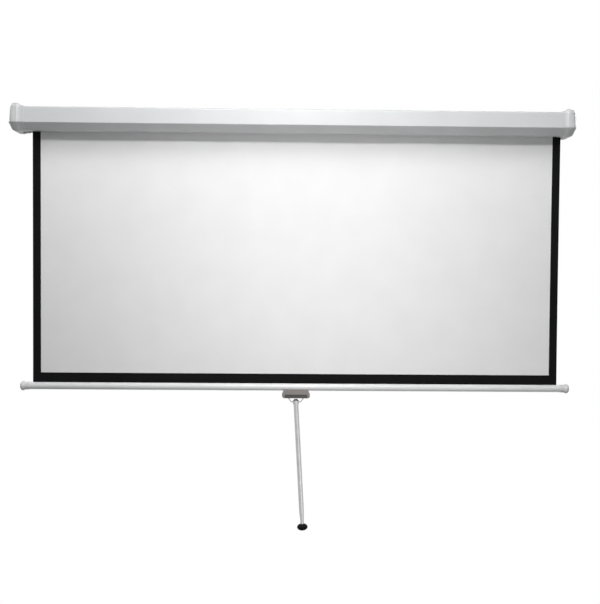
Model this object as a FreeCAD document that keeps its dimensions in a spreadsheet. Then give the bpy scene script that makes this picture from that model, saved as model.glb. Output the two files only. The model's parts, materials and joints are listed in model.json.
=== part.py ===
import FreeCAD, Part
import os
import re
import Sketcher

# Manual pull-down projection screen with a spring roller that locks by itself.
# Millimetres, +Z up, +X to the right seen from the front, the wall at y = 0 and
# the room towards -Y. The origin is half way between the two wall keyholes.

# Driving sizes: name and value in millimetres, degrees or a plain count
DRIVING = [
    # screen, whose width sets the lengths of roller, case and bar
    ("fabric_width", 1524), ("fabric_thickness", 0.5), ("fabric_gap", 0.3), ("hem_height", 28),
    # case
    ("bearing_room", 19), ("case_depth", 76), ("case_height", 64), ("case_wall", 1.6),
    ("wall_gap", 4), ("mount_drop", 29), ("ridge_drop", 46),
    ("brow_set_back", 5), ("foot_set_back", 24),
    ("brow_radius", 6), ("ridge_radius", 2.5), ("back_radius", 2.5),
    ("slot_width", 18), ("slot_lip", 6),
    ("port_radius", 3.4), ("port_bore", 1.5), ("port_inset", 7.5),
    # end caps
    ("cap_length", 46), ("cap_overlap", 23.5), ("cap_flare_length", 18), ("cap_band", 9.5), ("cap_wall", 2.4),
    ("cap_clearance", 0.15), ("cap_rim", 1.3), ("cap_trim", 1),
    ("flare_top", 10), ("flare_front", 4), ("flare_foot", 3.5), ("flare_share", 0.38), ("cap_notch", 2),
    ("nose_top", 14), ("nose_foot", 48), ("nose_front", 15),
    ("nose_corner", 8), ("nose_edge", 1.2), ("knee_out", 1.2), ("knee_in", 0.6),
    ("window_clearance", 0.3),
    # hanger plates and their keyholes
    ("plate_thickness", 2.5), ("flange_reach", 18), ("flange_height", 32),
    ("keyhole_offset", 10.5), ("keyhole_radius", 5), ("keyhole_neck", 2.75), ("keyhole_rise", 9),
    # screws
    ("screw_radius", 1.6), ("screw_head_radius", 3.2), ("screw_head_height", 2.2),
    ("screw_clearance", 0.15), ("plate_screw_length", 14), ("cap_boss_radius", 4),
    ("cap_screw_spread", 38), ("cap_screw_back", 14), ("cap_screw_drop", 30),
    # roller
    ("roller_from_wall", 43), ("roller_drop", 34), ("roller_margin", 3), ("roller_shift", 12),
    ("roller_radius", 21), ("roller_wall", 1.2), ("wrap_thickness", 0.9),
    ("plug_depth", 30), ("flange_thickness", 3), ("flange_overhang", 3),
    ("running_clearance", 0.05),
    # spring and self-lock
    ("spindle_radius", 5), ("tang_width", 8), ("tang_thickness", 4), ("tang_proud", 3),
    ("tang_clearance", 0.1), ("spring_length", 120), ("spring_turns", 5),
    ("spring_radius", 13.5), ("spring_wire_radius", 1.4), ("spring_gap", 0.3),
    ("collar_radius", 16), ("collar_width", 8), ("carrier_width", 14), ("seat_clearance", 0.1),
    ("washer_radius", 8), ("washer_thickness", 0.8),
    ("ratchet_radius", 8.5), ("ratchet_thickness", 6), ("notch_depth", 2.5), ("notch_reach", 2.8),
    ("notch_count", 4), ("notch_clearance", 0.5),
    ("pawl_reach", 9), ("pawl_pin_height", 13.5), ("pawl_thickness", 4), ("pawl_arm", 4.6),
    ("pawl_tooth", 2.4), ("pawl_heel", 2.8), ("pawl_round", 1.8), ("pawl_lift", 20), ("pawl_play", 0.3),
    ("pawl_pin_radius", 2), ("pawl_pin_shoulder", 3), ("pawl_pin_head", 1.2), ("pawl_pin_depth", 8),
    # plain end bearing
    ("bush_wall", 3), ("bush_flange", 1.5), ("bush_flange_radius", 11), ("spacer_wall", 3),
    ("spacer_gap", 0.3),
    # bottom bar
    ("bar_drop", 795), ("bar_radius", 10.5), ("bar_wall", 1.2), ("bar_overhang", 35), ("bar_slot", 3),
    ("hem_rod_radius", 4), ("hem_rod_play", 0.05),
    ("bar_cap_length", 25), ("bar_cap_end", 12), ("bar_cap_rim", 0.9),
    ("bar_cap_sleeve", 11), ("bar_cap_swell", 6), ("bar_cap_land", 4),
    ("bar_cap_radius", 14), ("bar_cap_nose", 9), ("bar_cap_round", 3),
    # handle
    ("handle_length", 81), ("handle_depth", 27), ("saddle_height", 10), ("saddle_wrap", 4),
    ("saddle_taper", 6), ("saddle_edge", 3), ("cheek_length", 8), ("cheek_round", 7),
    ("block_height", 11), ("block_set_back", 2), ("block_wall", 4.5),
    ("pocket_width", 15), ("pocket_depth", 8), ("handle_screw_spread", 40),
    # bail and pull rod
    ("bail_wire_radius", 1.5), ("bail_pivot_rise", 4), ("bail_pivot_depth", 3.5), ("bail_foot", 28),
    ("bail_drop", 12), ("bail_bend", 4), ("bail_side_gap", 1),
    ("rod_tilt", 3.4), ("rod_radius", 7), ("rod_wall", 1), ("rod_length", 317),
    ("ferrule_radius", 9), ("ferrule_rise", 8.5), ("ferrule_fall", 6), ("ferrule_round", 5),
    ("eye_radius", 2.3), ("tip_length", 35), ("tip_taper", 25), ("tip_radius", 5.25), ("tip_plug", 12),
    ("knob_radius", 15.5), ("knob_half_height", 10), ("knob_socket", 9),
]

# Places worked out from the driving sizes
DERIVED = [
    ("case_top", "mount_drop"),
    ("case_back", "-wall_gap"),
    ("ridge_y", "-wall_gap - case_depth"),
    ("brow_y", "ridge_y + brow_set_back"),
    ("foot_y", "ridge_y + foot_set_back"),
    ("ridge_z", "case_top - ridge_drop"),
    ("foot_z", "case_top - case_height"),
    ("fabric_end", "fabric_width / 2"),
    ("tube_end", "fabric_end + roller_margin"),
    ("case_end", "tube_end + bearing_room"),
    ("case_length", "2 * case_end"),
    ("plate_out", "case_end + plate_thickness"),
    ("idle_seat", "case_end - roller_shift"),
    ("idle_end", "idle_seat + plate_thickness"),
    ("spring_seat", "case_end + roller_shift"),
    ("cap_mouth", "case_end - cap_overlap"),
    ("cap_peak", "cap_mouth + cap_flare_length"),
    ("cap_shoulder", "cap_peak + cap_band"),
    ("cap_tip", "cap_mouth + cap_length"),
    ("keyhole_x", "case_end + keyhole_offset"),
    ("roller_y", "-roller_from_wall"),
    ("roller_z", "case_top - roller_drop"),
    ("tube_bore", "roller_radius - roller_wall"),
    ("flange_out", "tube_end + flange_thickness"),
    ("flange_radius", "roller_radius + flange_overhang"),
    ("plug_in", "tube_end - plug_depth"),
    ("ratchet_in", "flange_out + running_clearance + washer_thickness"),
    ("pawl_in", "ratchet_in + (ratchet_thickness - pawl_thickness) / 2"),
    ("collar_out", "plug_in - washer_thickness"),
    ("collar_in", "collar_out - collar_width"),
    ("carrier_out", "collar_in - spring_length"),
    ("carrier_in", "carrier_out - carrier_width"),
    ("wrap_radius", "roller_radius + wrap_thickness"),
    ("wind_radius", "wrap_radius + fabric_gap + fabric_thickness / 2"),
    ("fabric_y", "roller_y + wind_radius"),
    ("bar_z", "case_top - bar_drop"),
    ("bar_bore", "bar_radius - bar_wall"),
    ("bar_tip", "fabric_end + bar_overhang"),
    ("bar_end", "bar_tip - bar_cap_end"),
    ("hem_rod_z", "bar_z + sqrt(bar_bore^2 - bar_slot^2 / 4)"
                  " - sqrt(hem_rod_radius^2 - bar_slot^2 / 4) - hem_rod_play"),
    ("hem_top", "bar_z + bar_radius + hem_height"),
    ("saddle_foot", "bar_z - bar_radius - saddle_height"),
    ("block_foot", "saddle_foot - block_height"),
    ("block_length", "handle_length - 2 * cheek_length"),
    ("pocket_length", "block_length - 2 * block_wall"),
    ("bail_pivot_z", "block_foot + bail_pivot_rise"),
    ("bail_foot_z", "block_foot - bail_drop"),
    ("rod_foot", "-ferrule_fall - rod_length"),
    ("tip_foot", "rod_foot - tip_length"),
]

doc = FreeCAD.newDocument("PullDownScreen")
sheet = doc.addObject("Spreadsheet::Sheet", "Sizes")
NAMES = [name for name, content in DRIVING + DERIVED]
for row, (name, content) in enumerate(DRIVING + DERIVED, start=1):
    cell = "B%d" % row
    sheet.set("A%d" % row, name)
    sheet.set(cell, str(content) if row <= len(DRIVING) else "=" + content)
    sheet.setAlias(cell, name)
doc.recompute()

SUB_PARTS = []
RIGHT = 1
LEFT = -1
TINY = 0.001  # a difference that doesn't count


def bound(formula):
    """The formula with each size name pointing at its cell."""
    def cell_of(match):
        word = match.group(0)
        return "Sizes." + word if word in NAMES else word
    return re.sub(r"[a-z_]+", cell_of, formula)


def value(formula):
    """The formula's present value as a plain number."""
    return float(sheet.evalExpression(bound(formula)))


def on_side(side, formula):
    """The formula, mirrored for the left end."""
    return formula if side == RIGHT else "-(%s)" % formula


def place(thing, x="0", y="0", z="0"):
    """Bind the thing's position to the sheet."""
    for axis, formula in (("x", x), ("y", y), ("z", z)):
        thing.setExpression("Placement.Base." + axis, bound(formula))


def turn(thing, axis, formula):
    """Turn the thing about one of its own axes by an angle from the sheet."""
    thing.Placement = FreeCAD.Placement(thing.Placement.Base, FreeCAD.Rotation(axis, 1))
    thing.setExpression("Placement.Rotation.Angle", bound(formula))


def new_body(label, x="0", y="0", z="0"):
    """A body of its own, placed from the sheet."""
    body = doc.addObject("PartDesign::Body", label)
    body.Label = label
    place(body, x, y, z)
    SUB_PARTS.append(body)
    return body


def new_sketch(body, plane, offset="0"):
    """A sketch on one of the body's origin planes, moved along its normal by the offset."""
    sketch = body.newObject("Sketcher::SketchObject", body.Label + "_sketch")
    support = [feature for feature in body.Origin.OriginFeatures if feature.Role == plane]
    sketch.AttachmentSupport = (support[0], [""])
    sketch.MapMode = "FlatFace"
    sketch.setExpression("AttachmentOffset.Base.z", bound(offset))
    return sketch


def fix(sketch, kind, geometry, formula, point=None):
    """One constraint of the sketch, bound to a formula."""
    where = (geometry,) if point is None else (geometry, point)
    index = sketch.addConstraint(Sketcher.Constraint(kind, *where, value(formula)))
    sketch.setExpression("Constraints[%d]" % index, bound(formula))


def draw_polygon(sketch, points, construction=False):
    """A closed outline of straight lines, each corner tied to its two formulas."""
    corners = [FreeCAD.Vector(value(across), value(up), 0) for across, up in points]
    first = sketch.GeometryCount
    count = len(points)
    for i in range(count):
        sketch.addGeometry(Part.LineSegment(corners[i], corners[(i + 1) % count]), construction)
    for i in range(count):
        follower = first + (i + 1) % count
        sketch.addConstraint(Sketcher.Constraint("Coincident", first + i, 2, follower, 1))
    for i, (across, up) in enumerate(points):
        fix(sketch, "DistanceX", first + i, across, 1)
        fix(sketch, "DistanceY", first + i, up, 1)
    return first


def bend(before, corner, after, radius):
    """Start, middle and end of the arc that rounds a corner between two straight runs."""
    back = (before - corner).normalize()
    ahead = (after - corner).normalize()
    room = radius * ((1 + back.dot(ahead)) / (1 - back.dot(ahead))) ** 0.5
    inward = (back + ahead).normalize()
    to_centre = (room ** 2 + radius ** 2) ** 0.5
    return corner + back * room, corner + inward * (to_centre - radius), corner + ahead * room


def draw_rounded(sketch, points, radii):
    """A closed outline drawn anticlockwise over a construction polygon, with rounded corners."""
    frame = draw_polygon(sketch, points, construction=True)
    corners = [FreeCAD.Vector(value(across), value(up), 0) for across, up in points]
    count = len(points)
    bends = []
    for i in range(count):
        bends.append(bend(corners[i - 1], corners[i], corners[(i + 1) % count], value(radii[i])))
    sides = []
    for i in range(count):
        start, end = bends[i][2], bends[(i + 1) % count][0]
        sides.append(sketch.addGeometry(Part.LineSegment(start, end), False))
        for point in (1, 2):
            sketch.addConstraint(Sketcher.Constraint("PointOnObject", sides[i], point, frame + i))
    for i in range(count):
        if value(radii[i]) == 0:
            sketch.addConstraint(Sketcher.Constraint("Coincident", sides[i - 1], 2, sides[i], 1))
            continue
        arc = sketch.addGeometry(Part.Arc(*bends[i]), False)
        sketch.addConstraint(Sketcher.Constraint("Tangent", sides[i - 1], 2, arc, 1))
        sketch.addConstraint(Sketcher.Constraint("Tangent", arc, 2, sides[i], 1))
        fix(sketch, "Radius", arc, radii[i])


def draw_circle(sketch, radius, across="0", up="0"):
    """A circle tied to its centre and radius."""
    centre = FreeCAD.Vector(value(across), value(up), 0)
    circle = Part.Circle(centre, FreeCAD.Vector(0, 0, 1), value(radius))
    index = sketch.addGeometry(circle, False)
    fix(sketch, "DistanceX", index, across, 3)
    fix(sketch, "DistanceY", index, up, 3)
    fix(sketch, "Radius", index, radius)


def polygon(body, plane, points, offset="0"):
    sketch = new_sketch(body, plane, offset)
    draw_polygon(sketch, points)
    return sketch


def rounded(body, plane, points, radii, offset="0"):
    sketch = new_sketch(body, plane, offset)
    draw_rounded(sketch, points, radii)
    return sketch


def circles(body, plane, radii, across="0", up="0", offset="0"):
    sketch = new_sketch(body, plane, offset)
    for radius in radii:
        draw_circle(sketch, radius, across, up)
    return sketch


def rectangle(left, right, foot, top):
    """Corners of an upright rectangle."""
    return [(left, foot), (right, foot), (right, top), (left, top)]


def extrude(kind, body, sketch, length, both_ways, backwards):
    feature = body.newObject("PartDesign::" + kind, "%s_%s" % (body.Label, kind.lower()))
    feature.Profile = sketch
    feature.setExpression("Length", bound(length))
    feature.SideType = "Symmetric" if both_ways else "One side"
    feature.Reversed = backwards
    doc.recompute()
    return feature


def pad(body, sketch, length, both_ways=False, backwards=False):
    """Add the sketch's area over a length."""
    return extrude("Pad", body, sketch, length, both_ways, backwards)


def cut(body, sketch, length, both_ways=False, backwards=False):
    """Remove the sketch's area over a length, and make sure that something went."""
    before = body.Shape.Volume
    feature = extrude("Pocket", body, sketch, length, both_ways, backwards)
    if body.Shape.Volume > before - TINY:
        raise RuntimeError("a cut in %s removed nothing" % body.Label)
    return feature


def revolve(body, sketch, axis):
    feature = body.newObject("PartDesign::Revolution", body.Label + "_revolution")
    feature.Profile = sketch
    feature.ReferenceAxis = (sketch, [axis])
    feature.Angle = 360
    doc.recompute()
    return feature


def loft(kind, body, sections):
    """A skin through the sections, added to the body or taken from it."""
    feature = body.newObject("PartDesign::" + kind, "%s_%s" % (body.Label, kind.lower()))
    feature.Profile = sections[0]
    feature.Sections = sections[1:]
    feature.Ruled = False
    doc.recompute()
    return feature


def round_edges(body, radius, wanted):
    """Round the edges of the body so far whose middle point passes the test."""
    base = body.Tip
    names = []
    for number, edge in enumerate(base.Shape.Edges, start=1):
        middle = edge.valueAt((edge.FirstParameter + edge.LastParameter) / 2)
        if wanted(middle, edge):
            names.append("Edge%d" % number)
    if not names:
        raise RuntimeError("no edge of %s to round" % body.Label)
    feature = body.newObject("PartDesign::Fillet", body.Label + "_fillet")
    feature.Base = (base, names)
    feature.setExpression("Radius", bound(radius))
    doc.recompute()
    return feature


def near(a, b):
    return abs(a - b) < TINY


def turned_along_x(label, points, x="0", y="0", z="0"):
    """A turned piece on an axis along X: points are (place along X, radius)."""
    body = new_body(label, x, y, z)
    revolve(body, polygon(body, "XY_Plane", points), "H_Axis")
    return body


def turned_along_z(label, points):
    """A turned piece on an axis along its own Z: points are (radius, height)."""
    body = new_body(label)
    revolve(body, polygon(body, "XZ_Plane", points), "V_Axis")
    return body


def stepped_pin(label, steps, axis, x, y, z):
    """Cylinders in a row, fused: each step is (radius, start, length) along the axis."""
    cylinders = []
    for radius, start, length in steps:
        cylinder = doc.addObject("Part::Cylinder", label + "_step")
        cylinder.setExpression("Radius", bound(radius))
        cylinder.setExpression("Height", bound(length))
        cylinder.setExpression("Placement.Base.z", bound(start))
        cylinders.append(cylinder)
    pin = doc.addObject("Part::MultiFuse", label)
    pin.Shapes = cylinders
    pin.Placement.Rotation = FreeCAD.Rotation(FreeCAD.Vector(0, 0, 1), axis)
    place(pin, x, y, z)
    return pin


def group(label, members):
    """Identical pieces that share one node as separate solids."""
    compound = doc.addObject("Part::Compound", label)
    compound.Label = label
    compound.Links = members
    SUB_PARTS.append(compound)
    return compound


# Case: an extrusion with five sides, a slot underneath and screw ports in its corners
CASE_OUTLINE = [
    ("case_back", "case_top"), ("brow_y", "case_top"), ("ridge_y", "ridge_z"),
    ("foot_y", "foot_z"), ("case_back", "foot_z"),
]
CASE_CORNERS = ["back_radius", "brow_radius", "ridge_radius", "ridge_radius", "back_radius"]
BACK_PORTS = [
    ("case_back - port_inset", "case_top - port_inset"),
    ("case_back - port_inset", "foot_z + 2 * port_inset"),
]
BROW_PORT = ("brow_y + port_inset", "case_top - port_inset")
PORTS = BACK_PORTS + [BROW_PORT]
SLOT_FRONT = "fabric_y - slot_width / 2"
SLOT_BACK = "fabric_y + slot_width / 2"


def make_case():
    body = new_body("case_shell")
    pad(body, rounded(body, "YZ_Plane", CASE_OUTLINE, CASE_CORNERS), "case_length", both_ways=True)
    base = body.Tip
    ends = []
    for number, face in enumerate(base.Shape.Faces, start=1):
        if near(abs(face.CenterOfMass.x), value("case_end")):
            ends.append("Face%d" % number)
    shell = body.newObject("PartDesign::Thickness", "case_shell_wall")
    shell.Base = (base, ends)
    shell.setExpression("Value", bound("case_wall"))
    shell.Reversed = True
    doc.recompute()
    lips = new_sketch(body, "YZ_Plane")
    draw_polygon(lips, rectangle(SLOT_FRONT + " - case_wall", SLOT_FRONT, "foot_z", "foot_z + slot_lip"))
    draw_polygon(lips, rectangle(SLOT_BACK, SLOT_BACK + " + case_wall", "foot_z", "foot_z + slot_lip"))
    pad(body, lips, "case_length", both_ways=True)
    slot = polygon(body, "YZ_Plane", rectangle(SLOT_FRONT, SLOT_BACK, "foot_z - case_wall",
                                               "foot_z + slot_lip"))
    cut(body, slot, "case_length", both_ways=True)
    for y, z in PORTS:
        pad(body, circles(body, "YZ_Plane", ["port_radius"], y, z), "case_length", both_ways=True)
    for y, z in BACK_PORTS:
        rib = rectangle(y, "case_back - case_wall / 2", z + " - port_bore", z + " + port_bore")
        pad(body, polygon(body, "YZ_Plane", rib), "case_length", both_ways=True)
    y, z = BROW_PORT
    rib = rectangle(y + " - port_bore", y + " + port_bore", z, "case_top - case_wall / 2")
    pad(body, polygon(body, "YZ_Plane", rib), "case_length", both_ways=True)
    for port in PORTS:
        cut(body, circles(body, "YZ_Plane", ["port_bore"], *port), "case_length", both_ways=True)


make_case()


# End caps: flared from the case's outline to a level band, then bevelled to a smaller nose
def cap_section(body, side, x, grow, back="cap_trim", back_corner="0"):
    """The case's outline grown at the top, front and foot, at one place along X."""
    rise, front, foot = grow
    points = [
        (back, "case_top + " + rise),
        ("brow_y - (%s)" % front, "case_top + " + rise),
        ("ridge_y - (%s)" % front, "ridge_z"),
        ("foot_y - (%s) / 2" % front, "foot_z - (%s)" % foot),
        (back, "foot_z - (%s)" % foot),
    ]
    corners = [back_corner, "brow_radius + " + rise, "ridge_radius + " + front, "ridge_radius + " + foot,
               back_corner]
    return rounded(body, "YZ_Plane", points, corners, on_side(side, x))


def nose_section(body, side, x, inset, back="cap_trim", back_corner="0"):
    """The bevelled nose at the end of a cap."""
    points = [
        (back, "case_top - nose_top - " + inset),
        ("brow_y + nose_front + " + inset, "case_top - nose_top - " + inset),
        ("ridge_y + nose_front + " + inset, "ridge_z + " + inset),
        ("foot_y + nose_front / 2", "case_top - nose_foot + " + inset),
        (back, "case_top - nose_foot + " + inset),
    ]
    corners = [back_corner, "nose_corner", "nose_corner / 2", "nose_corner / 2", back_corner]
    return rounded(body, "YZ_Plane", points, corners, on_side(side, x))


CAP_SCREWS = [
    ("-cap_screw_back", "case_top - cap_screw_drop"),
    ("-cap_screw_back - cap_screw_spread", "case_top - cap_screw_drop"),
]


def make_end_cap(label, side):
    body = new_body(label)
    middle = "(cap_mouth + cap_peak) / 2"
    flare = ("flare_top", "flare_front", "flare_foot")
    loft("AdditiveLoft", body, [
        cap_section(body, side, "cap_mouth", ("cap_rim", "cap_rim", "cap_rim")),
        cap_section(body, side, middle, [size + " * flare_share" for size in flare]),
        cap_section(body, side, "cap_peak", flare),
    ])
    pad(body, cap_section(body, side, "cap_peak", flare), "cap_band", backwards=side == LEFT)
    knee = [size + " - knee_in" for size in flare]
    loft("AdditiveLoft", body, [
        cap_section(body, side, "cap_shoulder", flare),
        cap_section(body, side, "cap_shoulder + knee_out", knee),
    ])
    loft("AdditiveLoft", body, [
        cap_section(body, side, "cap_shoulder + knee_out", knee),
        nose_section(body, side, "cap_tip - nose_edge", "0"),
    ])
    loft("AdditiveLoft", body, [
        nose_section(body, side, "cap_tip - nose_edge", "0"),
        nose_section(body, side, "cap_tip", "2 * nose_edge"),
    ])
    behind_wall = rectangle("-2 * cap_tip", "2 * cap_tip", "-case_height", "case_height")
    cut(body, polygon(body, "XZ_Plane", behind_wall), "2 * cap_trim")
    loose = ("cap_clearance", "cap_clearance", "cap_clearance")
    behind = "case_back + cap_clearance"
    socket = cap_section(body, side, "cap_mouth", loose, behind, "back_radius")
    cut(body, socket, "cap_flare_length + cap_band", backwards=side == RIGHT)
    loft("SubtractiveLoft", body, [
        cap_section(body, side, "cap_shoulder", loose, behind, "back_radius"),
        nose_section(body, side, "cap_tip - cap_wall", "cap_wall", "-cap_wall", "back_radius"),
    ])
    for y, z in CAP_SCREWS:
        boss = circles(body, "YZ_Plane", ["cap_boss_radius"], y, z, on_side(side, "plate_out"))
        pad(body, boss, "cap_tip - cap_wall / 2 - plate_out", backwards=side == LEFT)
    for y, z in CAP_SCREWS:
        bore = circles(body, "YZ_Plane", ["screw_radius + screw_clearance"], y, z, on_side(side, "cap_tip"))
        cut(body, bore, "cap_length", backwards=side == LEFT)
        recess = circles(body, "YZ_Plane", ["screw_head_radius + 2 * screw_clearance"], y, z,
                         on_side(side, "cap_tip"))
        cut(body, recess, "screw_head_height + 2 * screw_clearance", backwards=side == LEFT)
    window = rectangle(on_side(side, "case_end - window_clearance"),
                       on_side(side, "case_end + flange_reach + window_clearance"),
                       "-flange_height / 2 - window_clearance", "flange_height / 2 + window_clearance")
    cut(body, polygon(body, "XZ_Plane", window), "2 * wall_gap + 2 * cap_wall", both_ways=True)
    notch = rectangle("0", on_side(side, "fabric_end + roller_shift + cap_notch"), SLOT_FRONT, SLOT_BACK)
    cut(body, polygon(body, "XY_Plane", notch, "foot_z + slot_lip"), "2 * slot_lip")


make_end_cap("end_cap_left", LEFT)
make_end_cap("end_cap_right", RIGHT)


# Hanger plates: close the case's ends, carry the roller and hang on two wall screws
def make_hanger_plate(label, side):
    body = new_body(label)
    back = side == LEFT
    start = on_side(side, "case_end")
    pad(body, rounded(body, "YZ_Plane", CASE_OUTLINE, CASE_CORNERS, start), "plate_thickness", backwards=back)
    tab = rectangle("case_back - plate_thickness", "0", "-flange_height / 2", "flange_height / 2")
    pad(body, polygon(body, "YZ_Plane", tab, start), "plate_thickness", backwards=back)
    flange = rectangle(start, on_side(side, "case_end + flange_reach"),
                       "-flange_height / 2", "flange_height / 2")
    pad(body, polygon(body, "XZ_Plane", flange), "plate_thickness")
    centre = on_side(side, "keyhole_x")
    through = "4 * plate_thickness"
    cut(body, circles(body, "XZ_Plane", ["keyhole_radius"], centre), through, both_ways=True)
    neck = rectangle(centre + " - keyhole_neck", centre + " + keyhole_neck", "0", "keyhole_rise")
    cut(body, polygon(body, "XZ_Plane", neck), through, both_ways=True)
    cut(body, circles(body, "XZ_Plane", ["keyhole_neck"], centre, "keyhole_rise"), through, both_ways=True)
    for y, z in PORTS + CAP_SCREWS:
        hole = circles(body, "YZ_Plane", ["screw_radius + running_clearance"], y, z, start)
        cut(body, hole, "4 * plate_thickness", both_ways=True)
    if side == LEFT:
        tang = rectangle("roller_y - tang_width / 2 - tang_clearance",
                         "roller_y + tang_width / 2 + tang_clearance",
                         "roller_z - tang_thickness / 2 - tang_clearance",
                         "roller_z + tang_thickness / 2 + tang_clearance")
        seat = polygon(body, "YZ_Plane", tang, start)
    else:
        seat = circles(body, "YZ_Plane", ["spindle_radius + bush_wall"], "roller_y", "roller_z", start)
    cut(body, seat, "4 * plate_thickness", both_ways=True)


make_hanger_plate("hanger_plate_left", LEFT)
make_hanger_plate("hanger_plate_right", RIGHT)


# Screws of the plates and caps, each with a head and a shank that points inwards
def screw(label, radius, length, side, x, y, z):
    inwards = FreeCAD.Vector(-side, 0, 0)
    steps = [(radius, "0", length), ("screw_head_radius", "-screw_head_height", "screw_head_height")]
    return stepped_pin(label, steps, inwards, on_side(side, x), y, z)


plate_screws = []
cap_screws = []
for end in (LEFT, RIGHT):
    for y, z in PORTS:
        plate_screws.append(screw("plate_screw", "port_bore", "plate_screw_length", end, "plate_out", y, z))
    for y, z in CAP_SCREWS:
        seat = "cap_tip - screw_head_height - 2 * screw_clearance"
        cap_screws.append(screw("cap_screw", "screw_radius", seat + " - case_end", end, seat, y, z))
group("plate_screws", plate_screws)
group("cap_screws", cap_screws)


# Roller: tube, plugs and the turns of fabric that never leave it
def on_roller(label, points):
    return turned_along_x(label, points, "roller_shift", "roller_y", "roller_z")


def sleeve(left, right, bore, radius):
    """Outline of a plain sleeve for a turned piece."""
    return [(left, bore), (right, bore), (right, radius), (left, radius)]


def plug(label, side, bore):
    """A flanged plug in one end of the tube."""
    points = [("plug_in", bore), ("flange_out", bore), ("flange_out", "flange_radius"),
              ("tube_end", "flange_radius"), ("tube_end", "tube_bore"), ("plug_in", "tube_bore")]
    return on_roller(label, [(on_side(side, x), radius) for x, radius in points])


on_roller("roller_tube", sleeve("-tube_end", "tube_end", "tube_bore", "roller_radius"))
on_roller("fabric_wrap", sleeve("-fabric_end", "fabric_end", "roller_radius", "wrap_radius"))
spring_plug = plug("spring_end_plug", LEFT, "spindle_radius + running_clearance")
PAWL_PINS = [("pawl_reach", "pawl_pin_height"), ("-pawl_reach", "-pawl_pin_height")]
for across, up in PAWL_PINS:
    hole = circles(spring_plug, "YZ_Plane", ["pawl_pin_radius"], across, up, "-flange_out")
    cut(spring_plug, hole, "pawl_pin_depth", backwards=True)
plug("idle_end_plug", RIGHT, "spindle_radius")

# Plain end: a gudgeon in the plug turns in a flanged bush in the plate
on_roller("idle_gudgeon", [("plug_in", "0"), ("idle_end", "0"), ("idle_end", "spindle_radius"),
                           ("plug_in", "spindle_radius")])
on_roller("idle_spacer", sleeve("flange_out", "idle_seat - bush_flange - spacer_gap",
                                "spindle_radius", "spindle_radius + spacer_wall"))
BUSH_BORE = "spindle_radius + running_clearance"
on_roller("idle_bush", [("idle_seat - bush_flange", BUSH_BORE), ("idle_end", BUSH_BORE),
                        ("idle_end", "spindle_radius + bush_wall"),
                        ("idle_seat", "spindle_radius + bush_wall"),
                        ("idle_seat", "bush_flange_radius"),
                        ("idle_seat - bush_flange", "bush_flange_radius")])


# Spring end: a spindle held still by its tang, with the ratchet and the spring's still end
def make_spindle():
    body = on_roller("spring_spindle", [("-spring_seat", "0"), ("-carrier_in", "0"),
                                        ("-carrier_in", "spindle_radius"),
                                        ("-spring_seat", "spindle_radius")])
    tang = rectangle("-tang_width / 2", "tang_width / 2", "-tang_thickness / 2", "tang_thickness / 2")
    pad(body, polygon(body, "YZ_Plane", tang, "-spring_seat"), "plate_thickness + tang_proud", backwards=True)


make_spindle()
on_roller("spindle_washer", sleeve("-ratchet_in", "-flange_out - running_clearance",
                                   "spindle_radius", "washer_radius"))


def make_ratchet():
    body = new_body("ratchet_wheel", "roller_shift", "roller_y", "roller_z")
    disc = circles(body, "YZ_Plane", ["ratchet_radius", "spindle_radius"], offset="-ratchet_in")
    pad(body, disc, "ratchet_thickness", backwards=True)
    floor = "ratchet_radius - notch_depth"
    ramp = "pawl_tooth / 2 + notch_clearance"
    rim = floor + " + ratchet_radius"
    notch = [("-notch_reach", floor), (ramp, floor), (ramp + " + ratchet_radius", rim), ("-notch_reach", rim)]
    first = cut(body, polygon(body, "YZ_Plane", notch, "-ratchet_in"), "ratchet_thickness")
    pattern = body.newObject("PartDesign::PolarPattern", "ratchet_notches")
    pattern.Originals = [first]
    axis = [feature for feature in body.Origin.OriginFeatures if feature.Role == "X_Axis"]
    pattern.Axis = (axis[0], [""])
    pattern.Angle = 360
    pattern.setExpression("Occurrences", bound("notch_count"))
    body.Tip = pattern
    doc.recompute()


make_ratchet()


def make_pawl(label, pin, angle):
    """A pawl on its pin, modelled thrown clear of the ratchet."""
    across, up = pin
    body = new_body(label, "roller_shift - pawl_in", "roller_y + " + across, "roller_z + " + up)
    turn(body, FreeCAD.Vector(1, 0, 0), angle)
    tip = "ratchet_radius - notch_depth + notch_clearance - pawl_pin_height"
    outline = [
        ("pawl_heel", "pawl_arm / 2"),
        ("-pawl_reach - pawl_tooth / 2", "pawl_arm / 2"),
        ("-pawl_reach - pawl_tooth / 2", tip),
        ("-pawl_reach + pawl_tooth / 2", tip),
        ("-pawl_reach + pawl_tooth", "-pawl_arm / 2"),
        ("pawl_heel", "-pawl_arm / 2"),
    ]
    pad(body, polygon(body, "YZ_Plane", outline), "pawl_thickness", backwards=True)
    hole = circles(body, "YZ_Plane", ["pawl_pin_radius + running_clearance"])
    cut(body, hole, "4 * pawl_thickness", both_ways=True)
    heel = value("pawl_heel")
    round_edges(body, "pawl_round", lambda middle, edge: near(middle.y, heel)
                and near(abs(middle.z), value("pawl_arm / 2")))


make_pawl("pawl_upper", PAWL_PINS[0], "-pawl_lift")
make_pawl("pawl_lower", PAWL_PINS[1], "180 - pawl_lift")
pawl_pins = []
for across, up in PAWL_PINS:
    seat = "pawl_in - flange_out"
    steps = [
        ("pawl_pin_radius", "-pawl_pin_depth", "pawl_pin_depth + " + seat + " + pawl_thickness + pawl_play"),
        ("pawl_pin_shoulder", "0", seat + " - pawl_play"),
        ("pawl_pin_shoulder", seat + " + pawl_thickness + pawl_play", "pawl_pin_head"),
    ]
    pawl_pins.append(stepped_pin("pawl_pin", steps, FreeCAD.Vector(-1, 0, 0), "roller_shift - flange_out",
                                 "roller_y + " + across, "roller_z + " + up))
group("pawl_pins", pawl_pins)

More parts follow.
